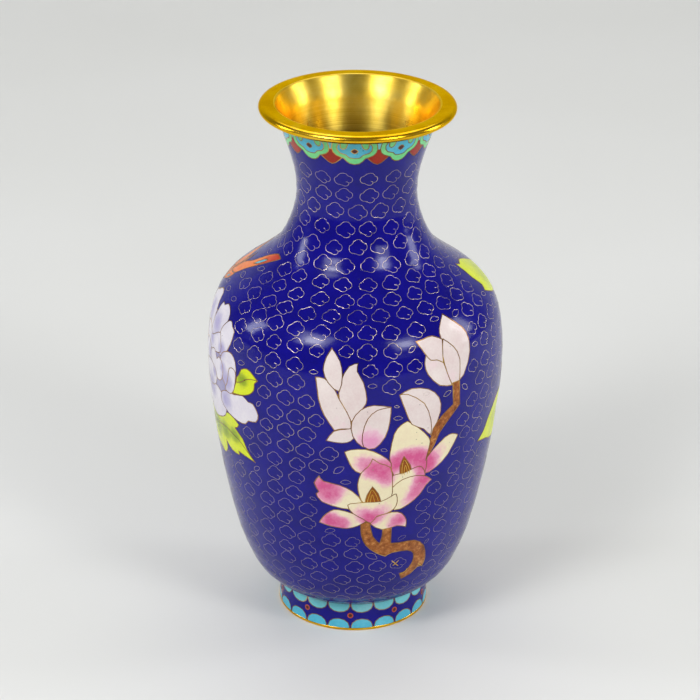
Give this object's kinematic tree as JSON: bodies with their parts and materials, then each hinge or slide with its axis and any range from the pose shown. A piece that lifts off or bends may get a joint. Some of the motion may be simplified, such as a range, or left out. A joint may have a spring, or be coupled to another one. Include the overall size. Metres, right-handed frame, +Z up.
{
  "type": "cloisonne vase",
  "caption": "Round-bellied cloisonne vase with a narrow flaring neck, gilt rim bead, ruyi collar, scalloped foot and flower sprays on a cobalt cloud ground.",
  "frame": {"origin": "centre of the foot, on the plane that the vase stands on", "axes": "+Z up along the vase's axis, -Y towards the front with the magnolia spray, +X to the right seen from the front"},
  "size_m": [0.1242, 0.1242, 0.23],
  "materials": {
    "gilt": "bright gilt copper, polished, on the rim bead and the foot's edge",
    "gilt_throat": "gilt copper inside the neck, turned marks round the axis",
    "gilt_wire": "drawn copper wire, polished flush with the enamel and gilt",
    "copper_wire": "red copper wire, polished flush with the enamel",
    "copper": "hammered copper sheet, hidden between the enamel and the hollow",
    "cobalt_enamel": "deep cobalt enamel, polished",
    "base_enamel": "cobalt counter-enamel, fire polished",
    "green_enamel": "green enamel, slightly mottled",
    "turquoise_enamel": "turquoise enamel",
    "pale_turquoise_enamel": "pale turquoise enamel",
    "red_enamel": "brick red enamel",
    "dark_red_enamel": "dark red-brown enamel",
    "pink_enamel": "cream enamel shaded to pink",
    "white_enamel": "warm white enamel",
    "stamen_enamel": "dark ochre enamel",
    "brown_enamel": "golden brown enamel",
    "peony_enamel": "lavender white enamel",
    "peony_shade_enamel": "grey lavender enamel",
    "leaf_enamel": "yellow green enamel",
    "orange_enamel": "orange enamel"
  },
  "bodies": {
    "root": {"belly_lower_shell": "copper", "belly_upper_shell": "copper", "neck_shell": "gilt_throat", "rim_bead": "gilt", "foot_ring": "copper", "foot_edge_ring": "gilt", "base_enamel": "base_enamel", "ground_enamel": "cobalt_enamel", "collar_green_enamel": "green_enamel", "collar_turquoise_enamel": "turquoise_enamel", "collar_dot_enamel": "dark_red_enamel", "collar_red_enamel": "red_enamel", "collar_corner_enamel": "pale_turquoise_enamel", "collar_head_wires": "gilt_wire", "collar_panel_wires": "gilt_wire", "foot_ground_enamel": "cobalt_enamel", "foot_upper_scallops": "pale_turquoise_enamel", "foot_lower_scallops": "turquoise_enamel", "foot_dot_enamel": "dark_red_enamel", "foot_dot_rings": "copper_wire", "foot_wires": "gilt_wire", "magnolia_pink_petals": "pink_enamel", "magnolia_white_petals": "white_enamel", "magnolia_stamens": "stamen_enamel", "magnolia_branch": "brown_enamel", "magnolia_wires": "gilt_wire", "peony_petals": "peony_enamel", "peony_shade_enamel": "peony_shade_enamel", "peony_leaves": "leaf_enamel", "peony_wires": "gilt_wire", "butterfly_wings": "orange_enamel", "butterfly_wing_spots": "turquoise_enamel", "butterfly_body": "brown_enamel", "butterfly_wires": "gilt_wire", "back_peony_petals": "peony_enamel", "back_shade_enamel": "peony_shade_enamel", "back_leaves": "leaf_enamel", "back_branch": "brown_enamel", "back_wires": "gilt_wire"}
  },
  "joints": []
}
